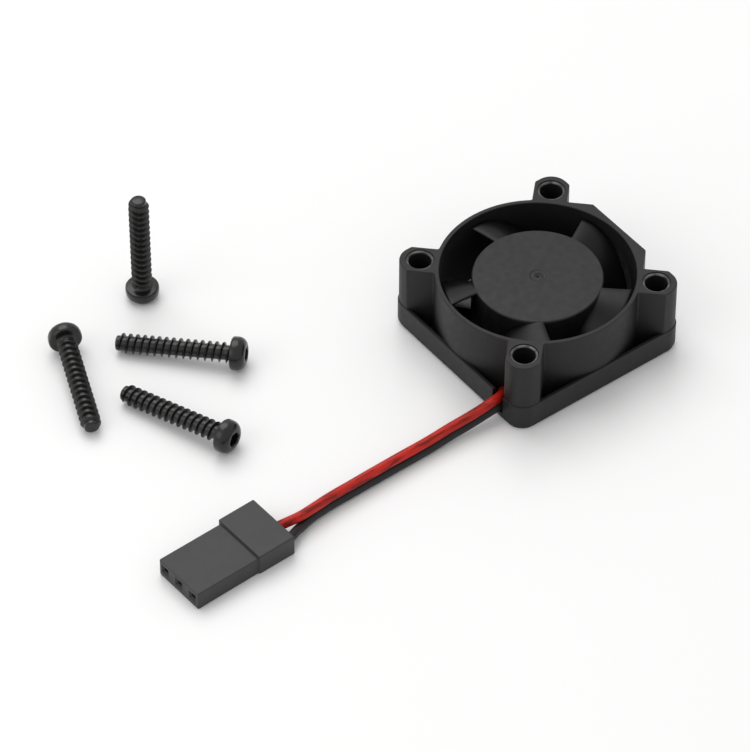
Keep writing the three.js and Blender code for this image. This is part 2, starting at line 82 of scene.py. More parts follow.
@dataclass(frozen=True)
class Finish:
    """One finish of the object.

    Attributes:
        name: the material's name.
        surface: the kind of texture.
        colour: base colour, linear.
        roughness: mean roughness.
        metallic: 0 for plastics, towards 1 for metals.
        grain: size of the finest bumps in millimetres.
        relief: height of those bumps in millimetres.
        mottle: how much colour and gloss wander over the surface, 0 to 1.
        coat: weight of a thin clear layer.
        edge: how much lighter a rubbed edge is, 0 to 1.
        painted_hole_highlights: whether a painted highlight ring, also made glossier, is put at the mouths of
            the four screw holes.
        shine: strength of the clear reflection, 0.5 for ordinary plastic.
    """

    name: str
    surface: Surface
    colour: Colour
    roughness: float
    metallic: float = 0.0
    grain: float = 0.12
    relief: float = 0.004
    mottle: float = 0.25
    coat: float = 0.0
    edge: float = 0.0
    painted_hole_highlights: bool = False
    shine: float = 0.34


class Finishes(Enum):
    """Every finish on the object."""

    # The housing gets a painted highlight ring at its screw-hole mouths.
    HOUSING = Finish("housing_plastic", Surface.MOULDED, (0.008, 0.0079, 0.0078), 0.5, grain=0.1,
                     mottle=0.3, edge=0.5, painted_hole_highlights=True)
    IMPELLER = Finish("impeller_plastic", Surface.MOULDED, (0.0085, 0.0085, 0.0086), 0.48, relief=0.0035,
                      mottle=0.6, edge=0.35)
    # Painted shade: the blades are a darker copy of the impeller's own plastic, darkened for the shade they
    # lie in.
    SHADED_BLADES = Finish("blade_plastic_painted_shade", Surface.MOULDED, (0.0022, 0.0022, 0.0023), 0.36, relief=0.0015,
                    mottle=0.3, edge=0.3, shine=0.24)
    PLUG = Finish("plug_plastic", Surface.MOULDED, (0.03, 0.0293, 0.0293), 0.44, grain=0.16, relief=0.003,
                  mottle=0.3, edge=0.4)
    RED = Finish("red_insulation", Surface.INSULATION, (0.42, 0.012, 0.006), 0.42, grain=0.5, relief=0.012,
                 mottle=0.75, shine=0.25)
    BLACK = Finish("black_insulation", Surface.INSULATION, (0.009, 0.0085, 0.0085), 0.45, grain=0.5,
                   relief=0.012, mottle=0.3)
    SCREW = Finish("black_oxide_steel", Surface.OXIDE, (0.011, 0.0106, 0.0102), 0.23, metallic=0.25,
                   grain=0.08, relief=0.003, mottle=0.5, edge=0.4, shine=0.55)
    STEEL = Finish("bright_steel", Surface.METAL, (0.48, 0.49, 0.5), 0.3, metallic=1.0, grain=0.1,
                   relief=0.001)
    BRASS = Finish("bright_brass", Surface.METAL, (0.7, 0.5, 0.2), 0.28, metallic=1.0, grain=0.1,
                   relief=0.001)
    BRONZE = Finish("sintered_bronze", Surface.METAL, (0.36, 0.21, 0.1), 0.55, metallic=0.9, grain=0.06,
                    relief=0.004, mottle=0.5)
    MAGNET = Finish("bonded_magnet", Surface.OXIDE, (0.05, 0.04, 0.035), 0.65, metallic=0.1, grain=0.08)
    COPPER = Finish("copper_winding", Surface.WOUND, (0.55, 0.2, 0.08), 0.3, metallic=0.9, relief=0.03)
    NYLON = Finish("natural_nylon", Surface.MOULDED, (0.68, 0.65, 0.55), 0.45, grain=0.15, mottle=0.15)
    BOARD = Finish("board_green", Surface.LAMINATE, (0.02, 0.13, 0.045), 0.35, grain=0.2, mottle=0.3,
                   coat=0.3)
    CHIP = Finish("chip_black", Surface.MOULDED, (0.015, 0.015, 0.015), 0.5, grain=0.06)
    CERAMIC = Finish("ceramic_tan", Surface.MOULDED, (0.33, 0.2, 0.1), 0.5, grain=0.08)
    FILM = Finish("grey_film", Surface.LAMINATE, (0.38, 0.39, 0.4), 0.32, grain=0.25, mottle=0.2, coat=0.2)


class NodeGraph:
    """A node tree that is built by adding nodes and joining them."""

    def __init__(self, tree: bpy.types.NodeTree) -> None:
        """Works on that tree."""
        self.tree = tree

    def add(self, kind: str, inputs: dict[object, object] | None = None,
            **settings: object) -> bpy.types.Node:
        """Adds a node.

        Args:
            kind: the node's type.
            inputs: values or output sockets, by input name or index.
            **settings: properties of the node.

        Returns:
            The new node.
        """
        node = self.tree.nodes.new(kind)
        for key, value in settings.items():
            setattr(node, key, value)
        return self.join(node, inputs or {})

    def join(self, node: bpy.types.Node, inputs: dict[object, object]) -> bpy.types.Node:
        """Sets a node's inputs, or links the ones that are given as sockets."""
        for key, value in inputs.items():
            if isinstance(value, bpy.types.NodeSocket):
                self.tree.links.new(value, node.inputs[key])
            else:
                node.inputs[key].default_value = value
        return node

    def math(self, operation: str, first: object, second: object = 0.0) -> Socket:
        """One arithmetic step on two numbers or sockets."""
        return self.add("ShaderNodeMath", {0: first, 1: second}, operation=operation).outputs[0]

    def remap(self, value: Socket, low: float, high: float,
              source: tuple[object, object] = (0.3, 0.7)) -> Socket:
        """A value moved from the source range to low..high."""
        return self.add("ShaderNodeMapRange", {
            "Value": value, "From Min": source[0], "From Max": source[1], "To Min": low, "To Max": high,
        }).outputs["Result"]


class ShaderGraph(NodeGraph):
    """The nodes of one material."""

    def __init__(self, name: str) -> None:
        """Starts an empty material of that name with its output and surface shader."""
        self.material = bpy.data.materials.new(name)
        self.material.use_nodes = True
        super().__init__(self.material.node_tree)
        self.tree.nodes.clear()
        self.shader = self.add("ShaderNodeBsdfPrincipled")
        self.add("ShaderNodeOutputMaterial", {"Surface": self.shader.outputs["BSDF"]})

    def noise(self, vector: Socket, size: float, detail: float = 3.0) -> Socket:
        """Noise from 0 to 1 with lumps of the given size in millimetres."""
        return self.add("ShaderNodeTexNoise", {
            "Vector": vector, "Scale": 1.0 / (size * MM), "Detail": detail,
        }).outputs["Fac"]

    def blend(self, share: Socket | float, first: object, second: object) -> Socket:
        """The first colour where share is 0, the second where it is 1."""
        return self.add("ShaderNodeMix", {0: share, 6: first, 7: second}, data_type="RGBA").outputs[2]

    def relief(self, height: Socket, depth: float, under: Socket | None = None) -> Socket:
        """A bump of the given depth in millimetres, on top of an earlier bump if there is one."""
        inputs: dict[str, object] = {"Height": height, "Strength": 1.0, "Distance": depth * MM}
        if under is not None:
            inputs["Normal"] = under
        return self.add("ShaderNodeBump", inputs).outputs["Normal"]


def scaled(colour: Colour, factor: float) -> tuple[float, float, float, float]:
    """The colour times a factor, with full alpha."""
    return (colour[0] * factor, colour[1] * factor, colour[2] * factor, 1.0)


class Paintbox:
    """Makes each finish's material once and hands it out."""

    def __init__(self) -> None:
        """Starts with no materials."""
        self.made: dict[str, bpy.types.Material] = {}

    def material(self, choice: Finishes) -> bpy.types.Material:
        """The material of a finish.

        Args:
            choice: the finish.

        Returns:
            Its node material.
        """
        finish = choice.value
        if finish.name not in self.made:
            self.made[finish.name] = self._build(finish)
        return self.made[finish.name]

    def _build(self, finish: Finish) -> bpy.types.Material:
        """Builds the node material of one finish."""
        graph = ShaderGraph(finish.name)
        where = graph.add("ShaderNodeTexCoord").outputs["Object"]
        broad = graph.noise(where, 6.0, 4.0)
        middle = graph.noise(where, 0.9, 3.0)
        fine = graph.noise(where, finish.grain, 2.0)
        spread = finish.mottle
        colour = graph.blend(graph.remap(broad, 0.0, 1.0), scaled(finish.colour, 1.0 - 0.28 * spread),
                             scaled(finish.colour, 1.0 + 0.32 * spread))
        colour = graph.blend(graph.remap(middle, 0.0, 0.55 * spread), colour, scaled(finish.colour, 1.35))
        if finish.surface is Surface.INSULATION:
            drawn_out = graph.add("ShaderNodeMapping", {"Vector": where, "Scale": (0.14, 1.0, 1.0)})
            streaks = graph.noise(drawn_out.outputs[0], 0.42, 2.0)
            streaks = graph.remap(streaks, 0.0, finish.mottle, (0.5, 0.62))
            colour = graph.blend(streaks, colour, scaled(finish.colour, 0.22))
        if finish.edge > 0.0:
            worn = graph.add("ShaderNodeNewGeometry").outputs["Pointiness"]
            rubbed = graph.remap(worn, 0.0, 0.5 * finish.edge, (0.53, 0.62))
            colour = graph.blend(rubbed, colour, scaled(finish.colour, 2.4))
        rough = graph.remap(middle, finish.roughness - 0.09 * spread, finish.roughness + 0.12 * spread)
        # Painted highlight: a bright ring is painted into the colour at the screw-hole mouths, which are also
        # made glossier there.
        if finish.painted_hole_highlights:
            bright = self._hole_highlight_mask(graph, where)
            colour = graph.blend(bright, colour, scaled(finish.colour, 16.0))
            rough = graph.math("SUBTRACT", rough, graph.math("MULTIPLY", bright, 0.18))
        graph.join(graph.shader, {
            "Base Color": colour, "Roughness": rough, "Metallic": finish.metallic,
            "Normal": self._relief(graph, finish, where, middle, fine), "Specular IOR Level": finish.shine,
            "Coat Weight": finish.coat, "Coat Roughness": 0.22,
        })
        return graph.material

    @staticmethod
    def _hole_highlight_mask(graph: ShaderGraph, where: Socket) -> Socket:
        """1 on a painted highlight ring at the mouths of the four screw holes, and 0 elsewhere."""
        place = graph.add("ShaderNodeSeparateXYZ", {"Vector": where}).outputs
        aside, along = (
            graph.math("SUBTRACT", graph.math("ABSOLUTE", place[axis]), 10.0 * MM) for axis in ("X", "Y")
        )
        squares = graph.math("ADD", *(graph.math("MULTIPLY", part, part) for part in (aside, along)))
        near = graph.remap(graph.math("SQRT", squares), 1.0, 0.0, (1.54 * MM, 1.64 * MM))
        high = graph.remap(place["Z"], 0.0, 1.0, (9.7 * MM, 9.8 * MM))
        patchy = graph.remap(graph.noise(where, 1.1, 3.0), 0.15, 1.0, (0.38, 0.6))
        return graph.math("MULTIPLY", graph.math("MULTIPLY", near, high), patchy)

    @staticmethod
    def _relief(graph: ShaderGraph, finish: Finish, where: Socket, middle: Socket,
                fine: Socket) -> Socket:
        """The bump that suits the finish's kind of surface."""
        if finish.surface is Surface.MOULDED:
            waves = graph.relief(graph.noise(where, 3.0, 1.0), 0.012)
            return graph.relief(fine, finish.relief, waves)
        if finish.surface is Surface.INSULATION:
            dents = graph.relief(graph.noise(where, 2.4, 2.0), 0.03)
            return graph.relief(fine, finish.relief, dents)
        if finish.surface is Surface.WOUND:
            tightness = 1.1 / (finish.grain * MM * 6.0)
            bands = graph.add("ShaderNodeTexWave", {"Vector": where, "Scale": tightness},
                              bands_direction="Z")
            return graph.relief(bands.outputs["Fac"], finish.relief)
        return graph.relief(fine, finish.relief, graph.relief(middle, 0.004))


# ---- outlines and solids


def polar(radius: float, degrees: float) -> Point2:
    """The point at that radius and angle."""
    angle = math.radians(degrees)
    return (radius * math.cos(angle), radius * math.sin(angle))


def arc(radius: float, start: float, end: float, step: float = 4.0,
        centre: Point2 = (0.0, 0.0)) -> list[Point2]:
    """Points along an arc, both ends included.

    Args:
        radius: the arc's radius.
        start: first angle in degrees.
        end: last angle in degrees.
        step: about how many degrees lie between points.
        centre: the arc's centre.

    Returns:
        The points in order.
    """
    count = max(1, round(abs(end - start) / step))
    points = (polar(radius, start + (end - start) * i / count) for i in range(count + 1))
    return [(centre[0] + x, centre[1] + y) for x, y in points]


def rounded(corners: Sequence[tuple[float, float, float]], steps: int = 5) -> list[Point2]:
    """An outline whose corners are rounded.

    Args:
        corners: x, y and rounding radius of each corner, in order.
        steps: pieces of each rounding.

    Returns:
        The closed outline's points, without repeating the first.
    """
    points: list[Point2] = []
    count = len(corners)
    for i, (x, y, radius) in enumerate(corners):
        here = Vector((x, y))
        back = Vector(corners[i - 1][:2]) - here
        ahead = Vector(corners[(i + 1) % count][:2]) - here
        if radius <= 0.0 or back.length == 0.0 or ahead.length == 0.0:
            points.append((x, y))
            continue
        reach_limit = 0.49 * min(back.length, ahead.length)
        back.normalize()
        ahead.normalize()
        half = back.angle(ahead) / 2.0
        reach = min(radius / math.tan(half), reach_limit)
        first, last = here + back * reach, here + ahead * reach
        for k in range(steps + 1):
            t = k / steps
            bent = (1 - t) ** 2 * first + 2 * t * (1 - t) * here + t * t * last
            points.append((bent.x, bent.y))
    return points


def rounded_square(half: float, radius: float, steps: int = 10) -> list[Point2]:
    """A square outline with true circular corners, anticlockwise."""
    points: list[Point2] = []
    for quarter, (sx, sy) in enumerate(((1, 1), (-1, 1), (-1, -1), (1, -1))):
        centre = (sx * (half - radius), sy * (half - radius))
        points += arc(radius, 90.0 * quarter, 90.0 * (quarter + 1), 90.0 / steps, centre)
    return points


def inset(outline: Sequence[Point2], distance: float) -> list[Point2]:
    """The outline moved inwards; a negative distance moves it outwards.

    Args:
        outline: anticlockwise points.
        distance: how far.

    Returns:
        As many points as before.
    """
    count = len(outline)
    moved: list[Point2] = []
    for i, (x, y) in enumerate(outline):
        before, after = Vector(outline[i - 1]), Vector(outline[(i + 1) % count])
        here = Vector((x, y))
        first, second = (here - before).normalized(), (after - here).normalized()
        inward_a, inward_b = Vector((-first.y, first.x)), Vector((-second.y, second.x))
        mitre = (inward_a + inward_b) / max(0.35, 1.0 + inward_a.dot(inward_b))
        moved.append((x + mitre.x * distance, y + mitre.y * distance))
    return moved


def link(name: str, data: bpy.types.ID) -> Thing:
    """A new object that holds the mesh, curve, light or camera, linked to the scene."""
    thing = bpy.data.objects.new(name, data)
    bpy.context.scene.collection.objects.link(thing)
    return thing


def from_bmesh(name: str, shape: bmesh.types.BMesh) -> Thing:
    """Turns a bmesh in millimetres into an object in metres with its faces pointing out."""
    bmesh.ops.remove_doubles(shape, verts=shape.verts, dist=1e-4)
    bmesh.ops.recalc_face_normals(shape, faces=shape.faces)
    bmesh.ops.scale(shape, vec=(MM, MM, MM), verts=shape.verts)
    mesh = bpy.data.meshes.new(name)
    shape.to_mesh(mesh)
    shape.free()
    return link(name, mesh)


def stacked(name: str, loops: Sequence[Sequence[Point3]]) -> Thing:
    """A closed solid through loops of equal length, with a flat face at each end.

    Args:
        name: the object's name.
        loops: rings of points in millimetres, in order.

    Returns:
        The solid.
    """
    shape = bmesh.new()
    rings = [[shape.verts.new(point) for point in loop] for loop in loops]
    for low, high in zip(rings, rings[1:]):
        for i in range(len(low)):
            j = (i + 1) % len(low)
            shape.faces.new((low[i], low[j], high[j], high[i]))
    shape.faces.new(list(reversed(rings[0])))
    shape.faces.new(rings[-1])
    return from_bmesh(name, shape)


def prism(name: str, outline: Sequence[Point2], profile: Sequence[Point2]) -> Thing:
    """A solid that stands on an outline.

    Args:
        name: the object's name.
        outline: anticlockwise points.
        profile: inset and height of each level, from the bottom up.

    Returns:
        The solid.
    """
    levels = [[(x, y, z) for x, y in inset(outline, distance)] for distance, z in profile]
    return stacked(name, levels)


def turned(name: str, profile: Sequence[Point2], segments: int = 96) -> Thing:
    """A solid of revolution about Z.

    Args:
        name: the object's name.
        profile: radius and height of each point; it starts and ends on the axis, or closes on itself.
        segments: facets round the axis.

    Returns:
        The solid.
    """
    shape = bmesh.new()
    on_axis = profile[0][0] == 0.0
    points = list(profile) if on_axis else [*profile, profile[0]]
    rows = []
    for radius, z in points:
        if radius == 0.0:
            rows.append([shape.verts.new((0.0, 0.0, z))] * segments)
        else:
            rows.append([shape.verts.new((*polar(radius, 360.0 * i / segments), z)) for i in range(segments)])
    for low, high in zip(rows, rows[1:]):
        for i in range(segments):
            j = (i + 1) % segments
            corners = list(dict.fromkeys((low[i], low[j], high[j], high[i])))
            if len(corners) > 2:
                shape.faces.new(corners)
    return from_bmesh(name, shape)


def block(name: str, low: Point3, high: Point3) -> Thing:
    """A plain box between two corners, used as a cutter."""
    outline = [(low[0], low[1]), (high[0], low[1]), (high[0], high[1]), (low[0], high[1])]
    return prism(name, outline, [(0.0, low[2]), (0.0, high[2])])


def moved(thing: Thing, matrix: Matrix) -> Thing:
    """Moves an object's mesh, in millimetres, and leaves the object at the origin."""
    scale = Matrix.Scale(MM, 4)
    thing.data.transform(scale @ matrix @ scale.inverted())
    return thing


def frozen(thing: Thing) -> Thing:
    """Applies every modifier of an object to its mesh."""
    depsgraph = bpy.context.evaluated_depsgraph_get()
    made = bpy.data.meshes.new_from_object(thing.evaluated_get(depsgraph))
    old = thing.data
    thing.modifiers.clear()
    thing.data = made
    bpy.data.meshes.remove(old)
    return thing


def discard(thing: Thing) -> None:
    """Removes a working object and its mesh."""
    mesh = thing.data
    bpy.data.objects.remove(thing)
    bpy.data.meshes.remove(mesh)


def combine(target: Thing, tools: Iterable[Thing], operation: str) -> Thing:
    """Joins solids to a target, or cuts them out of it.

    Args:
        target: the solid that is kept.
        tools: the solids that are used up.
        operation: UNION or DIFFERENCE.

    Returns:
        The target.
    """
    for tool in tools:
        modifier = target.modifiers.new("combine", "BOOLEAN")
        modifier.operation = operation
        modifier.solver = "EXACT"
        modifier.object = tool
        frozen(target)
        discard(tool)
    return target


def smooth(thing: Thing, degrees: float = 32.0) -> Thing:
    """Shades a solid smooth, keeps edges sharper than the angle, and keeps its flats flat."""
    shape = bmesh.new()
    shape.from_mesh(thing.data)
    bmesh.ops.remove_doubles(shape, verts=shape.verts, dist=2e-7)
    bmesh.ops.dissolve_degenerate(shape, edges=shape.edges, dist=2e-7)
    shape.to_mesh(thing.data)
    shape.free()
    thing.data.shade_smooth()
    thing.data.set_sharp_from_angle(angle=math.radians(degrees))
    flats = thing.modifiers.new("flats", "WEIGHTED_NORMAL")
    flats.keep_sharp = True
    flats.weight = 90
    return frozen(thing)


def dress(thing: Thing, material: bpy.types.Material) -> Thing:
    """Gives an object one material."""
    thing.data.materials.clear()
    thing.data.materials.append(material)
    return thing


def settle(thing: Thing, paint: Paintbox, choice: Finishes, body: str, *nodes: str) -> Thing:
    """Dresses a finished piece and registers it with the frame.

    Args:
        thing: the piece.
        paint: the finishes.
        choice: its finish, named after the record's material slot.
        body: the body that it moves with.
        *nodes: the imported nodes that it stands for.

    Returns:
        The piece.
    """
    dress(thing, paint.material(choice))
    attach(thing, body)
    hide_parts(*nodes)
    LOG.info("%s rides on %s and stands for %s", thing.name, body, ", ".join(nodes))
    return thing


# ---- geometry node trees


class Tree(NodeGraph):
    """A geometry node tree with named inputs."""

    def __init__(self, name: str) -> None:
        """Starts an empty tree with a geometry input and output."""
        super().__init__(bpy.data.node_groups.new(name, "GeometryNodeTree"))
        for way in ("INPUT", "OUTPUT"):
            self.tree.interface.new_socket("Geometry", in_out=way, socket_type="NodeSocketGeometry")
        self.source = self.add("NodeGroupInput")
        self.keys: dict[str, str] = {}

    def number(self, name: str, kind: str = "NodeSocketFloat") -> Socket:
        """Adds a named input and returns its socket inside the tree."""
        self.keys[name] = self.tree.interface.new_socket(name, in_out="INPUT", socket_type=kind).identifier
        return self.source.outputs[name]

    def finish(self, geometry: Socket) -> None:
        """Ends the tree in real geometry with its material."""
        real = self.add("GeometryNodeRealizeInstances", {"Geometry": geometry})
        painted = self.add("GeometryNodeSetMaterial", {
            "Geometry": real.outputs[0], "Material": self.number("Material", "NodeSocketMaterial"),
        })
        self.add("NodeGroupOutput", {"Geometry": painted.outputs[0]})

    def run(self, thing: Thing, values: dict[str, object]) -> Thing:
        """Runs the tree on an object and keeps the result as its plain mesh.

        Args:
            thing: the object whose mesh is the tree's geometry input.
            values: the tree's inputs, by name.

        Returns:
            The same object.
        """
        modifier = thing.modifiers.new(self.tree.name, "NODES")
        modifier.node_group = self.tree
        for name, value in values.items():
            modifier[self.keys[name]] = value
        return frozen(thing)


def ring_of_copies() -> Tree:
    """A tree that repeats its geometry at equal steps round the Z axis."""
    tree = Tree("ring_of_copies")
    count = tree.number("Count", "NodeSocketInt")
    points = tree.add("GeometryNodeMeshLine", {"Count": count, "Offset": (0.0, 0.0, 0.0)})
    index = tree.add("GeometryNodeInputIndex").outputs[0]
    turn = tree.math("DIVIDE", tree.math("MULTIPLY", index, 2.0 * math.pi), count)
    copies = tree.add("GeometryNodeInstanceOnPoints", {
        "Points": points.outputs[0], "Instance": tree.source.outputs[0],
        "Rotation": tree.add("ShaderNodeCombineXYZ", {"Z": turn}).outputs[0],
    })
    tree.finish(copies.outputs[0])
    return tree


def helical_ridge() -> Tree:
    """A tree that lays a thin tapered ridge along a right-hand helix, as the thread of a screw."""
    tree = Tree("helical_ridge")
    steps = tree.number("Steps per Turn", "NodeSocketInt")
    turns, pitch, path_radius, height, root_width, crest_width, run_out = map(tree.number, (
        "Turns", "Pitch", "Path Radius", "Ridge Height", "Root Width", "Crest Width", "Run-out Share",
    ))
    helix = tree.add("GeometryNodeCurveSpiral", {
        "Resolution": steps, "Rotations": turns, "Start Radius": path_radius, "End Radius": path_radius,
        "Height": tree.math("MULTIPLY", turns, pitch),
    })
    upright = tree.add("GeometryNodeSetCurveNormal", {"Curve": helix.outputs[0]})
    upright.mode = "Z_UP"
    along = tree.add("GeometryNodeSplineParameter").outputs["Factor"]
    nearest_end = tree.math("MINIMUM", along, tree.math("SUBTRACT", 1.0, along))
    section = tree.add("GeometryNodeCurvePrimitiveQuadrilateral", {
        "Height": height, "Bottom Width": root_width, "Top Width": crest_width, "Offset": 0.0,
    }, mode="TRAPEZOID")
    outwards = tree.add("ShaderNodeCombineXYZ", {"X": tree.math("DIVIDE", height, -2.0)})
    placed = tree.add("GeometryNodeTransform", {
        "Geometry": section.outputs[0], "Translation": outwards.outputs[0],
        "Rotation": (0.0, 0.0, math.radians(90.0)),
    })
    ridge = tree.add("GeometryNodeCurveToMesh", {
        "Curve": upright.outputs[0], "Profile Curve": placed.outputs[0], "Fill Caps": True,
        "Scale": tree.remap(nearest_end, 0.2, 1.0, (0.0, run_out)),
    })
    tree.finish(ridge.outputs[0])
    return tree


# ---- the lead and its plug


@dataclass(frozen=True)
class Wire:
    """One wire of the lead: its node, finish, contact, exit in metres, and route in millimetres."""

    node: str
    finish: Finishes
    contact: str
    exit: Point3
    route: tuple[Point3, ...]


@dataclass
class Lead:
    """Two insulated wires that leave the housing together, red on black, and end in the plug."""

    radius: float = 0.6
    length: float = 44.0
    wires: tuple[Wire, ...] = (
        Wire("wire_red", Finishes.RED, "contact_positive", (-0.0125, -0.0083, 0.0027), (
            (-5.0, -2.59, 0.75), (-6.99, -3.93, 0.75), (-9.0, -5.45, 0.8), (-10.4, -6.75, 1.5),
            (-11.6, -7.85, 2.38), (-12.97, -8.4, 2.84), (-14.5, -8.4, 2.62), (-16.1, -8.34, 2.38),
            (-19.5, -8.21, 2.07), (-22.5, -8.24, 1.89), (-26.9, -8.27, 1.86), (-30.6, -8.33, 1.86),
            (-34.3, -8.43, 1.86), (-37.3, -8.53, 1.9), (-40.4, -8.85, 2.0), (-42.0, -8.88, 1.93),
            (-43.2, -8.55, 1.64), (-44.4, -8.2, 1.35), (-45.3, -8.08, 1.3), (-46.9, -8.12, 1.3),
        )),
        Wire("wire_black", Finishes.BLACK, "contact_negative", (-0.0125, -0.0085, 0.0016), (
            (-4.28, -3.67, 0.75), (-6.27, -5.01, 0.75), (-8.4, -6.6, 0.8), (-9.8, -7.68, 0.92),
            (-11.2, -8.42, 1.33), (-12.6, -8.5, 1.61), (-14.3, -8.43, 1.38), (-16.1, -8.38, 1.14),
            (-19.5, -8.28, 0.83), (-22.5, -8.32, 0.65), (-26.9, -8.37, 0.62), (-30.6, -8.43, 0.62),
            (-34.3, -8.5, 0.62), (-37.3, -8.6, 0.66), (-40.4, -8.97, 0.76), (-42.1, -9.45, 0.85),
            (-43.2, -9.85, 1.03), (-44.2, -10.33, 1.23), (-45.2, -10.62, 1.3), (-46.9, -10.66, 1.3),
        )),
    )
    made: dict[str, Thing] = field(default_factory=dict)

    def curve(self, name: str, route: Sequence[Point3], radius: float) -> Thing:
        """A smooth tube along a route.

        Args:
            name: the object's name.
            route: the points that it passes through, in millimetres.
            radius: the tube's radius in millimetres.

        Returns:
            A curve object of one open spline.
        """
        data = bpy.data.curves.new(name, "CURVE")
        data.dimensions = "3D"
        data.resolution_u = 8
        data.bevel_depth = radius * MM
        data.bevel_resolution = 6
        data.use_fill_caps = True
        spline = data.splines.new("BEZIER")
        spline.bezier_points.add(len(route) - 1)
        for point, place in zip(spline.bezier_points, route):
            point.co = Vector(place) * MM
            point.handle_left_type = point.handle_right_type = "AUTO"
        return link(name, data)

    def build(self, paint: Paintbox) -> None:
        """Makes both wires and registers them on the fan's frame."""
        for wire in self.wires:
            insulation = self.curve(f"{wire.node}_insulation", wire.route, self.radius)
            self.made[wire.node] = settle(insulation, paint, wire.finish, "fan_frame", wire.node)

    def passage(self, route: Sequence[Point3], clearance: float) -> Thing:
        """The room round the start of a route, as a solid that can be cut out of the housing."""
        tube = self.curve("passage", route[:7], self.radius + clearance)
        mesh = bpy.data.meshes.new_from_object(tube.evaluated_get(bpy.context.evaluated_depsgraph_get()))
        curve = tube.data
        bpy.data.objects.remove(tube)
        bpy.data.curves.remove(curve)
        return link("passage", mesh)


@dataclass
class Plug:
    """The flat three-way plug. In its own frame the wires enter at X = 0 and the sockets face -X."""

    rear: Point2 = (-44.92, -8.05)
    angle: float = 2.06
    length: float = 14.0
    front_width: float = 7.2
    front_height: float = 2.5
    rear_length: float = 5.0
    rear_near: float = -3.76
    rear_far: float = 3.95
    rear_height: float = 2.85
    ramp: float = 0.22
    pitch: float = 2.54
    axis_height: float = 1.3
    mouth_half: float = 0.46
    front_wall: float = 1.0
    chamber: Point2 = (0.83, 0.8)
    latch: Point2 = (-8.6, -5.2)
    latch_half: float = 0.62
    slot: float = 0.12
    end_slot: float = 0.25
    edge: float = 0.2

    def section(self, near: float, far: float, height: float) -> list[Point2]:
        """A rounded rectangle across the plug, from the near side to the far side."""
        r = self.edge
        return rounded([(near, 0.0, r), (far, 0.0, r), (far, height, r), (near, height, r)], 4)

    def swept(self, name: str, stations: Sequence[tuple[float, list[Point2], float]]) -> Thing:
        """A solid through sections across X.

        Args:
            name: the object's name.
            stations: X, section and inset of each station.

        Returns:
            The solid.
        """
        return stacked(name, [[(x, y, z) for y, z in inset(outline, d)] for x, outline, d in stations])

    def cavities(self) -> list[Thing]:
        """Cutters for the three contact chambers and their square mouths."""
        cutters = []
        for socket in (-1, 0, 1):
            y, z = socket * self.pitch, self.axis_height
            wide, high = self.chamber
            half, front = self.mouth_half, -self.length
            start = front + self.front_wall
            cutters.append(block("chamber", (start, y - wide, z - high), (1.0, y + wide, z + high)))
            mouth = [(y - half, z - half), (y + half, z - half), (y + half, z + half), (y - half, z + half)]
            steps = ((front - 1.0, -0.2), (front, -0.2), (front + 0.3, 0.05), (front + 2.0, 0.05))
            cutters.append(self.swept("mouth", [(x, mouth, distance) for x, distance in steps]))
        return cutters

    def latches(self) -> list[Thing]:
        """Cutters for the slots round the latch tongues on the plug's underside."""
        cutters = []
        (start, end), half, top = self.latch, self.latch_half, self.axis_height - 0.5
        for socket in (-1, 0, 1):
            y = socket * self.pitch
            for side in (-half, half - self.slot):
                cutters.append(block("slot", (start, y + side, -1.0), (end, y + side + self.slot, top)))
            cutters.append(block("slot", (start, y - half, -1.0), (start + self.end_slot, y + half, top)))
        return cutters

    def build(self, paint: Paintbox) -> Thing:
        """Makes the plug's housing and registers it.

        Args:
            paint: the finishes.

        Returns:
            The finished piece.
        """
        near, far = -self.front_width / 2.0, self.front_width / 2.0
        front = self.section(near, far, self.front_height)
        rear = self.section(self.rear_near, self.rear_far, self.rear_height)
        low_rear = self.section(near + 0.03, far - 0.03, self.front_height + 0.06)
        end = -self.length
        nose = self.swept("nose", [
            (-1.0, front, 0.05), (end + 0.16, front, 0.0), (end + 0.05, front, 0.05), (end, front, 0.14),
        ])
        grip = self.swept("grip", [
            (0.0, rear, 0.12), (-0.05, rear, 0.04), (-0.14, rear, 0.0), (-self.rear_length, rear, 0.0),
            (-self.rear_length - 0.08, rear, 0.03), (-self.rear_length - self.ramp, low_rear, 0.0),
        ])
        body = combine(nose, [grip], "UNION")
        combine(body, self.cavities() + self.latches(), "DIFFERENCE")
        turn = Matrix.Rotation(math.radians(self.angle), 4, "Z")
        moved(smooth(body), Matrix.Translation((*self.rear, 0.0)) @ turn)
        body.name = "plug_shell"
        return settle(body, paint, Finishes.PLUG, "fan_frame", "plug_housing")


# ---- the fan


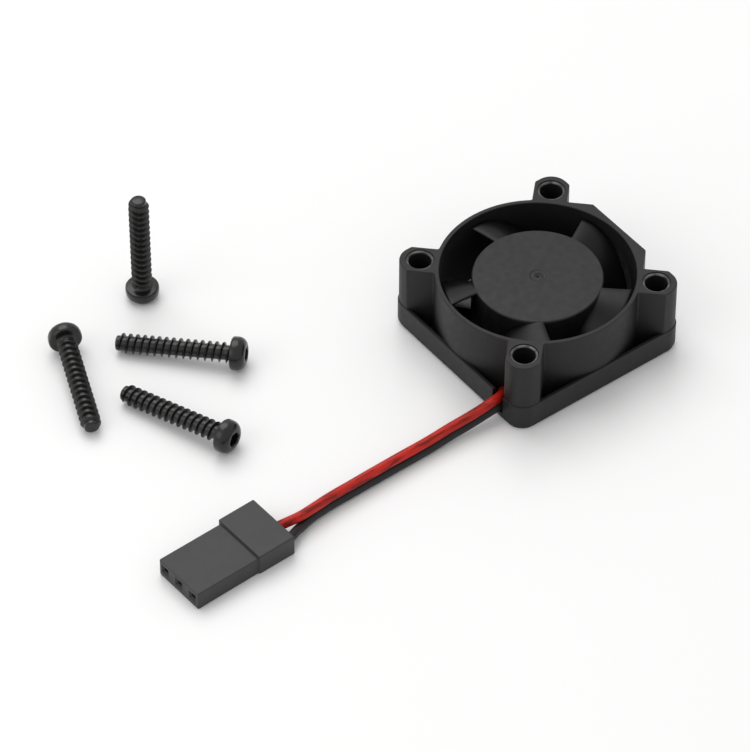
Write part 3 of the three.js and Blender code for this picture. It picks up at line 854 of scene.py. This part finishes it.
@dataclass
class FanHousing:
    """The one-piece moulding: flange, bosses, duct, straight wall, struts and motor base."""

    half: float = 12.5
    height: float = 10.0
    corner_radius: float = 2.2
    flange_top: float = 3.6
    rim_wall: float = 0.5
    pocket_floor: float = 1.0
    duct_radius: float = 11.75
    duct_outer: float = 12.35
    boss_setback: float = 0.09
    boss_spread: float = 3.0
    wall_half: float = 5.0
    notch: Point2 = (-9.3, -7.35)
    hole_offset: float = 10.0
    hole_radius: float = 1.35
    hole_mouth: float = 1.74
    base_radius: float = 8.0
    strut_angles: tuple[float, ...] = (40.0, 130.0, 310.0)
    lead_strut_angle: float = 214.0
    strut_size: Point2 = (1.5, 1.2)
    lead_strut_size: Point2 = (3.7, 1.75)
    channel_from: float = 5.2
    channel_half: float = 1.45
    channel_top: float = 0.8
    wire_clearance: float = 0.16

    def boss_corner(self, quarter: int) -> list[tuple[float, float, float]]:
        """The outer end of one boss: two shallow corners and the round between them, anticlockwise."""
        edge, r = self.half - self.boss_setback, self.corner_radius
        flank = edge - self.boss_spread
        outer = [(x, y, 0.0) for x, y in arc(r, 0.0, 90.0, 9.0, (edge - r, edge - r))]
        turn = Matrix.Rotation(math.radians(90.0 * quarter), 2)
        corners = [(edge, flank, 0.4), *outer, (flank, edge, 0.4)]
        return [(*(turn @ Vector((x, y))), rounding) for x, y, rounding in corners]

    def upper_outline(self) -> list[Point2]:
        """The plan of everything above the flange: the duct with its bosses and its straight wall."""
        root = math.degrees(math.asin(self.boss_spread / math.sqrt(2.0) / self.duct_outer))
        shoulder = self.half + self.wall_half
        notch_x = (shoulder + self.boss_spread) / 2.0
        notch_y = shoulder - notch_x
        corners: list[tuple[float, float, float]] = [
            (self.half, -self.wall_half, 0.3), (self.half, self.wall_half, 0.3), (notch_x, notch_y, 0.15),
        ]
        for quarter in range(4):
            corners += self.boss_corner(quarter)
            if quarter < 3:
                middle = 90.0 * (quarter + 1)
                sweep = arc(self.duct_outer, middle - 45.0 + root, middle + 45.0 - root, 3.5)
                corners += [(*sweep[0], 0.3), *((x, y, 0.0) for x, y in sweep[1:-1]), (*sweep[-1], 0.3)]
        corners.append((notch_x, -notch_y, 0.15))
        return rounded(corners, 4)

    def flange(self) -> Thing:
        """The low square flange with its foot band and its cored pockets."""
        outline = rounded_square(self.half, self.corner_radius)
        top = self.flange_top
        body = prism("flange", outline, [
            (0.32, 0.0), (0.2, 0.05), (0.15, 0.16), (0.13, 0.42), (0.05, 0.47), (0.0, 0.55), (0.0, top - 0.12),
            (0.03, top - 0.04), (0.09, top),
        ])
        well_half = self.half - self.rim_wall
        well = prism("well", rounded_square(well_half, self.corner_radius - self.rim_wall), [
            (0.2, self.pocket_floor), (0.06, self.pocket_floor + 0.06), (0.0, self.pocket_floor + 0.2),
            (0.0, top - 0.12), (-0.04, top - 0.04), (-0.1, top), (-0.1, top + 1.0),
        ])
        notch = block("notch", (-self.half - 1.0, self.notch[0], self.pocket_floor),
                      (-self.half + self.rim_wall + 0.5, self.notch[1], top + 1.0))
        return combine(body, [well, notch], "DIFFERENCE")

    def upper(self) -> Thing:
        """The tall part of the moulding, with a slight draft and a rounded top edge."""
        h = self.height
        return prism("upper", self.upper_outline(), [
            (0.0, 0.6), (0.0, self.flange_top), (0.02, h - 0.14), (0.05, h - 0.04), (0.11, h),
        ])

    def bore(self) -> Thing:
        """The cutter for the duct's bore, flared a little at both ends."""
        r, h = self.duct_radius, self.height
        return turned("bore", [
            (0.0, -1.0), (r + 0.14, -1.0), (r + 0.14, 0.0), (r + 0.03, 0.06), (r, 0.16), (r, h - 0.16),
            (r + 0.03, h - 0.05), (r + 0.1, h), (r + 0.1, h + 1.0), (0.0, h + 1.0),
        ], 128)

    def screw_holes(self) -> list[Thing]:
        """Cutters for the four screw holes with their dished mouths."""
        r, mouth, h = self.hole_radius, self.hole_mouth, self.height
        cutters = []
        for quarter in range(4):
            hole = turned("hole", [
                (0.0, -1.0), (r + 0.12, -1.0), (r + 0.12, 0.0), (r, 0.12), (r, h - 0.34), (r + 0.04, h - 0.22),
                (r + 0.14, h - 0.13), (r + 0.27, h - 0.1), (r + 0.35, h - 0.12), (mouth - 0.04, h - 0.09),
                (mouth, h), (mouth, h + 1.0), (0.0, h + 1.0),
            ], 40)
            centre = Vector((self.hole_offset, self.hole_offset, 0.0))
            centre.rotate(Matrix.Rotation(math.radians(90.0 * quarter), 3, "Z"))
            cutters.append(moved(hole, Matrix.Translation(centre)))
        return cutters

    def motor_base(self) -> list[Thing]:
        """The cup that carries the motor and the four struts that hold it."""
        r = self.base_radius
        cup = turned("cup", [
            (2.03, 0.15), (r - 0.15, 0.15), (r - 0.12, 0.0), (r, 0.12), (r, 1.8), (r - 0.08, 1.9),
            (r - 0.52, 1.9), (r - 0.6, 1.8), (r - 0.6, 1.0), (2.75, 1.0), (2.75, 1.27), (2.67, 1.35),
            (2.03, 1.35),
        ], 96)
        cup_floor = turned("cup_floor", [(5.0, 0.0), (r - 0.12, 0.0), (r - 0.12, 0.5), (5.0, 0.5)], 96)
        reach = (self.duct_radius + self.duct_outer) / 2.0
        struts = [self.strut(angle, reach, *self.strut_size) for angle in self.strut_angles]
        struts.append(self.strut(self.lead_strut_angle, reach, *self.lead_strut_size))
        return [combine(cup, [cup_floor], "UNION"), *struts]

    def strut(self, angle: float, reach: float, width: float, top: float) -> Thing:
        """One strut with rounded edges, from the motor base out into the duct's wall."""
        inner, w = self.base_radius - 0.35, width / 2.0
        bar = prism("strut", [(inner, -w), (reach, -w), (reach, w), (inner, w)], [
            (0.12, 0.0), (0.03, 0.04), (0.0, 0.12), (0.0, top - 0.15), (0.05, top - 0.05), (0.15, top),
        ])
        return moved(bar, Matrix.Rotation(math.radians(angle), 4, "Z"))

    def build(self, paint: Paintbox, lead: Lead) -> Thing:
        """Makes the moulding and registers it.

        Args:
            paint: the finishes.
            lead: the lead, whose wires run through the moulding.

        Returns:
            The finished piece.
        """
        body = combine(self.flange(), [self.upper()], "UNION")
        combine(body, [self.bore(), *self.screw_holes()], "DIFFERENCE")
        combine(body, self.motor_base(), "UNION")
        half = self.channel_half
        inner, outer = (self.channel_from, -half, -1.0), (self.duct_radius, half, self.channel_top)
        channel = block("channel", inner, outer)
        moved(channel, Matrix.Rotation(math.radians(self.lead_strut_angle), 4, "Z"))
        passages = [lead.passage(wire.route, self.wire_clearance) for wire in lead.wires]
        combine(body, [channel, *passages], "DIFFERENCE")
        body.name = "fan_housing"
        return settle(smooth(body), paint, Finishes.HOUSING, "fan_frame", "housing")


@dataclass
class Impeller:
    """The hub cap with its five cambered blades."""

    hub_radius: float = 7.9
    hub_top: float = 9.2
    skirt: float = 2.3
    wall: float = 0.7
    blades: int = 5
    first_angle: float = 91.7
    tip_radius: float = 11.35
    tip_lead: float = 3.5
    sweep: float = 52.0
    blade_top: float = 9.12
    drop: float = 6.8
    thickness: float = 0.62

    def hub(self) -> Thing:
        """The hub cap, hollow below, with the gate mark in the middle of its top."""
        r, top, low = self.hub_radius, self.hub_top, self.skirt
        inner = r - self.wall
        return turned("impeller_moulding", [
            (0.0, 8.38), (0.78, 8.38), (0.78, 7.55), (2.1, 7.55), (2.2, 7.65), (2.2, 8.4), (inner - 0.3, 8.4),
            (inner, 8.1), (inner, low + 0.1), (inner + 0.1, low), (r - 0.1, low), (r, low + 0.1),
            (r, top - 0.3), (r - 0.03, top - 0.17), (r - 0.1, top - 0.07), (r - 0.22, top), (1.02, top),
            (0.96, top - 0.05), (0.72, top - 0.06), (0.62, top - 0.03), (0.42, top - 0.03),
            (0.36, top - 0.12), (0.16, top - 0.15), (0.12, top - 0.3), (0.0, top - 0.32),
        ], 128)

    def blade_section(self, radius: float, share: float) -> list[Point3]:
        """One blade's section on a cylinder.

        Args:
            radius: the cylinder's radius.
            share: how much of the full thickness the section has.

        Returns:
            The section's points round the blade.
        """
        span = (radius - self.hub_radius) / (self.tip_radius - self.hub_radius)
        steps = 22
        arc_length = radius * math.radians(self.sweep)

        def camber(v: float) -> tuple[float, float, float]:
            return v * arc_length, -self.drop * v * v, math.atan2(2.0 * self.drop * v, arc_length)

        def placed(v: float, across: float, ahead: float) -> Point3:
            along, fall, slope = camber(v)
            half = 0.5 * self.thickness * share * (0.62 + 0.38 * math.sin(math.pi * v))
            along += half * (across * math.sin(slope) + ahead * math.cos(slope))
            fall += half * (across * math.cos(slope) - ahead * math.sin(slope))
            angle = self.first_angle + self.tip_lead * span - math.degrees(along / radius)
            return (*polar(radius, angle), self.blade_top - self.thickness * 0.31 + fall)

        ends = (0.5, 0.866, 1.0, 0.866, 0.5)
        sides = (0.866, 0.5, 0.0, -0.5, -0.866)
        points = [placed(k / steps, 1.0, 0.0) for k in range(steps + 1)]
        points += [placed(1.0, side, end) for side, end in zip(sides, ends)]
        points += [placed(1.0 - k / steps, -1.0, 0.0) for k in range(steps + 1)]
        points += [placed(0.0, -side, -end) for side, end in zip(sides, ends)]
        return points

    def blade(self) -> Thing:
        """One blade, lofted from inside the hub's wall to its rounded tip."""
        tip = self.tip_radius
        stations = ((7.5, 1.0), (7.9, 1.0), (8.2, 1.0), (8.8, 1.0), (9.6, 0.97), (10.4, 0.94), (11.0, 0.9),
                    (tip - 0.1, 0.86), (tip - 0.03, 0.7), (tip, 0.4))
        return stacked("blade", [self.blade_section(radius, share) for radius, share in stations])

    def build(self, paint: Paintbox) -> Thing:
        """Makes the impeller and registers it on the rotor."""
        material = paint.material(Finishes.IMPELLER)
        blades = ring_of_copies().run(self.blade(), {"Count": self.blades, "Material": material})
        body = smooth(combine(self.hub(), [blades], "UNION"), 38.0)
        settle(body, paint, Finishes.IMPELLER, "rotor", "impeller")
        # Painted shade: faces outside the hub get the darker copy of the impeller's plastic.
        body.data.materials.append(paint.material(Finishes.SHADED_BLADES))
        reach = (self.hub_radius + 0.02) * MM
        for face in body.data.polygons:
            face.material_index = int(face.center.xy.length > reach)
        return body


# ---- screws


@dataclass
class Screws:
    """Four tapping screws with a hexagon socket: one stands on its head, three lie on the surface."""

    length: float = 15.95
    head_radius: float = 2.05
    head: float = 1.8
    crest_radius: float = 1.25
    core_radius: float = 0.9
    pitch: float = 0.88
    thread_start: float = 0.27
    thread_end: float = 0.08
    rooted: float = 0.1
    ridge_root: float = 0.5
    ridge_crest: float = 0.07
    run_out: float = 0.03
    steps_per_turn: int = 28
    socket: float = 1.62
    floor_gap: float = 0.01
    standing: Point2 = (-34.24, 33.44)
    lying: tuple[tuple[str, float, float, float, float], ...] = (
        ("2", -52.5, 17.79, 67.9, 40.0), ("3", -42.08, 27.77, -47.7, 12.0), ("4", -46.2, 20.4, -70.2, 25.0),
    )

    def blank(self) -> Thing:
        """The screw without its thread: blunt tip, core, collar, pan head and socket."""
        r, top, under, core = self.head_radius, self.length, self.length - self.head, self.core_radius
        body = turned("blank", [
            (0.0, 0.0), (0.66, 0.0), (0.78, 0.04), (core, 0.14), (core + 0.02, 0.3), (core, 0.5),
            (core, under - 0.5),
            (core + 0.05, under - 0.22), (core + 0.2, under - 0.06), (core + 0.42, under), (r - 0.3, under),
            (r - 0.12, under + 0.05), (r - 0.02, under + 0.18), (r, under + 0.36), (r, under + 0.8),
            (r - 0.04, under + 1.04), (r - 0.14, under + 1.28), (r - 0.32, under + 1.52),
            (r - 0.56, under + 1.69),
            (r - 0.8, top - 0.02), (r - 0.92, top), (0.0, top),
        ], 64)
        corner = self.socket / math.sqrt(3.0)
        hexagon = [polar(corner, 60.0 * i) for i in range(6)]
        steps = [(0.0, top - 1.15), (0.0, top - 0.12), (-0.1, top), (-0.1, top + 1.0)]
        return combine(body, [prism("recess", hexagon, steps)], "DIFFERENCE")

    def threaded(self, material: bpy.types.Material) -> Thing:
        """The finished screw along Z with its tip at Z = 0."""
        seed = block("thread", (-1.0, -1.0, 0.0), (1.0, 1.0, 1.0))
        path, ridge_foot = self.core_radius - self.rooted, self.thread_start + self.thread_end
        values: dict[str, object] = {
            "Steps per Turn": self.steps_per_turn,
            "Turns": (self.length - self.head - ridge_foot) / self.pitch, "Pitch": self.pitch * MM,
            "Path Radius": path * MM, "Ridge Height": (self.crest_radius - path) * MM,
            "Root Width": self.ridge_root * MM, "Crest Width": self.ridge_crest * MM,
            "Run-out Share": self.run_out, "Material": material,
        }
        thread = moved(helical_ridge().run(seed, values), Matrix.Translation((0.0, 0.0, self.thread_start)))
        return smooth(combine(self.blank(), [thread], "UNION"), 35.0)

    def build(self, paint: Paintbox) -> None:
        """Makes the four screws and registers each on its own body."""
        pattern = self.threaded(paint.material(Finishes.SCREW))
        upside_down = Matrix.Translation((*self.standing, self.length + self.floor_gap)) @ Matrix.Rotation(
            math.pi, 4, "X")
        places = {"1": upside_down}
        under = self.length - self.head
        first_crest = 0.1 + self.pitch / 2.0
        tilt = math.atan2(self.head_radius - self.crest_radius, under - first_crest)
        lift = self.head_radius * math.cos(tilt) - under * math.sin(tilt) + self.floor_gap
        for number, x, y, heading, roll in self.lying:
            places[number] = (
                Matrix.Translation((x, y, lift)) @ Matrix.Rotation(math.radians(heading), 4, "Z")
                @ Matrix.Rotation(math.pi / 2.0 - tilt, 4, "Y") @ Matrix.Rotation(math.radians(roll), 4, "Z")
            )
        for number, place in sorted(places.items()):
            screw = moved(link(f"tapping_screw_{number}", pattern.data.copy()), place)
            settle(screw, paint, Finishes.SCREW, f"screw_{number}", f"mounting_screw_{number}")
        discard(pattern)


# ---- inner parts


@dataclass
class InnerWorks:
    """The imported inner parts, which keep their shape and get their finishes."""

    nodes: dict[str, Thing]

    def build(self, paint: Paintbox) -> None:
        """Gives every inner part its finish."""
        choices = {
            Finishes.BRASS: ("bearing_tube", "contact_positive", "contact_negative"),
            Finishes.BRONZE: ("sleeve_bearing",),
            Finishes.NYLON: (
                "thrust_pad", "retaining_ring", "lower_insulator", "upper_insulator", "oil_washer",
            ),
            Finishes.STEEL: ("stator_core", "rotor_yoke", "shaft"),
            Finishes.COPPER: tuple(f"coil_{number}" for number in range(1, 5)),
            Finishes.BOARD: ("circuit_board",),
            Finishes.CHIP: ("drive_chip",),
            Finishes.CERAMIC: ("chip_capacitor",),
            Finishes.MAGNET: ("magnet_ring",),
            Finishes.FILM: ("base_seal",),
        }
        for choice, names in choices.items():
            for name in names:
                dress(self.nodes[name], paint.material(choice))
                LOG.info("%s is finished in %s", name, choice.value.name)


# ---- studio


@dataclass
class Studio:
    """The pale floor, the soft lights and the camera."""

    focal: float = 241.07
    azimuth: float = -37.18
    elevation: float = 45.29
    distance: float = 0.6
    target: Point2 = (-0.02008, 0.00556)
    lit: Point3 = (-0.02, 0.0, 0.0)
    sky: float = 0.74
    floor_half: float = 3.0
    floor_drop: float = 0.00002

    def camera(self) -> None:
        """Places the camera at its fixed viewing angle."""
        data = bpy.data.cameras.new("camera")
        data.lens = self.focal
        data.clip_start, data.clip_end = 0.01, 20.0
        thing = link("camera", data)
        turn, rise = math.radians(self.azimuth), math.radians(self.elevation)
        back = Vector((math.sin(turn) * math.cos(rise), -math.cos(turn) * math.cos(rise), math.sin(rise)))
        thing.location = Vector((*self.target, 0.0)) + back * self.distance
        thing.rotation_euler = back.to_track_quat("Z", "Y").to_euler()
        bpy.context.scene.camera = thing

    def floor(self) -> None:
        """Lays the pale floor just under the object."""
        mesh = bpy.data.meshes.new("floor")
        far = self.floor_half
        corners = [(x, y, -self.floor_drop) for x, y in ((-far, -far), (far, -far), (far, far), (-far, far))]
        mesh.from_pydata(corners, [], [(0, 1, 2, 3)])
        graph = ShaderGraph("floor")
        graph.join(graph.shader, {"Base Color": (0.86, 0.858, 0.856, 1.0), "Roughness": 0.42})
        mesh.materials.append(graph.material)
        link("floor", mesh)

    def lights(self) -> None:
        """Sets the world and the soft lights."""
        world = bpy.data.worlds.new("studio")
        world.use_nodes = True
        background = world.node_tree.nodes["Background"].inputs
        background["Color"].default_value = (1.0, 1.0, 1.0, 1.0)
        background["Strength"].default_value = self.sky
        bpy.context.scene.world = world
        self.softbox("back_light", (0.1, 0.5, 0.9), 0.8, 4.7)
        self.softbox("side_light", (-0.75, 0.1, 0.5), 0.6, 1.1)
        bpy.context.scene.view_settings.view_transform = "Standard"

    def softbox(self, name: str, place: Point3, size: float, power: float) -> None:
        """A square soft light that faces the middle of the object.

        Args:
            name: the light's name.
            place: where it hangs, in metres.
            size: its side in metres.
            power: its power in watts.
        """
        data = bpy.data.lights.new(name, "AREA")
        data.size, data.energy = size, power
        thing = link(name, data)
        thing.location = place
        thing.rotation_euler = (Vector(place) - Vector(self.lit)).to_track_quat("Z", "Y").to_euler()


def main() -> None:
    """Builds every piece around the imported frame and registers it."""
    logging.basicConfig(level=logging.INFO, format="%(name)s: %(message)s")
    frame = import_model()
    studio = Studio()
    studio.camera()
    paint = Paintbox()
    lead = Lead()
    lead.build(paint)
    plug = Plug().build(paint)
    FanHousing().build(paint, lead)
    Impeller().build(paint)
    Screws().build(paint)
    InnerWorks(frame["nodes"]).build(paint)
    studio.floor()
    studio.lights()


if __name__ == "__main__":
    main()
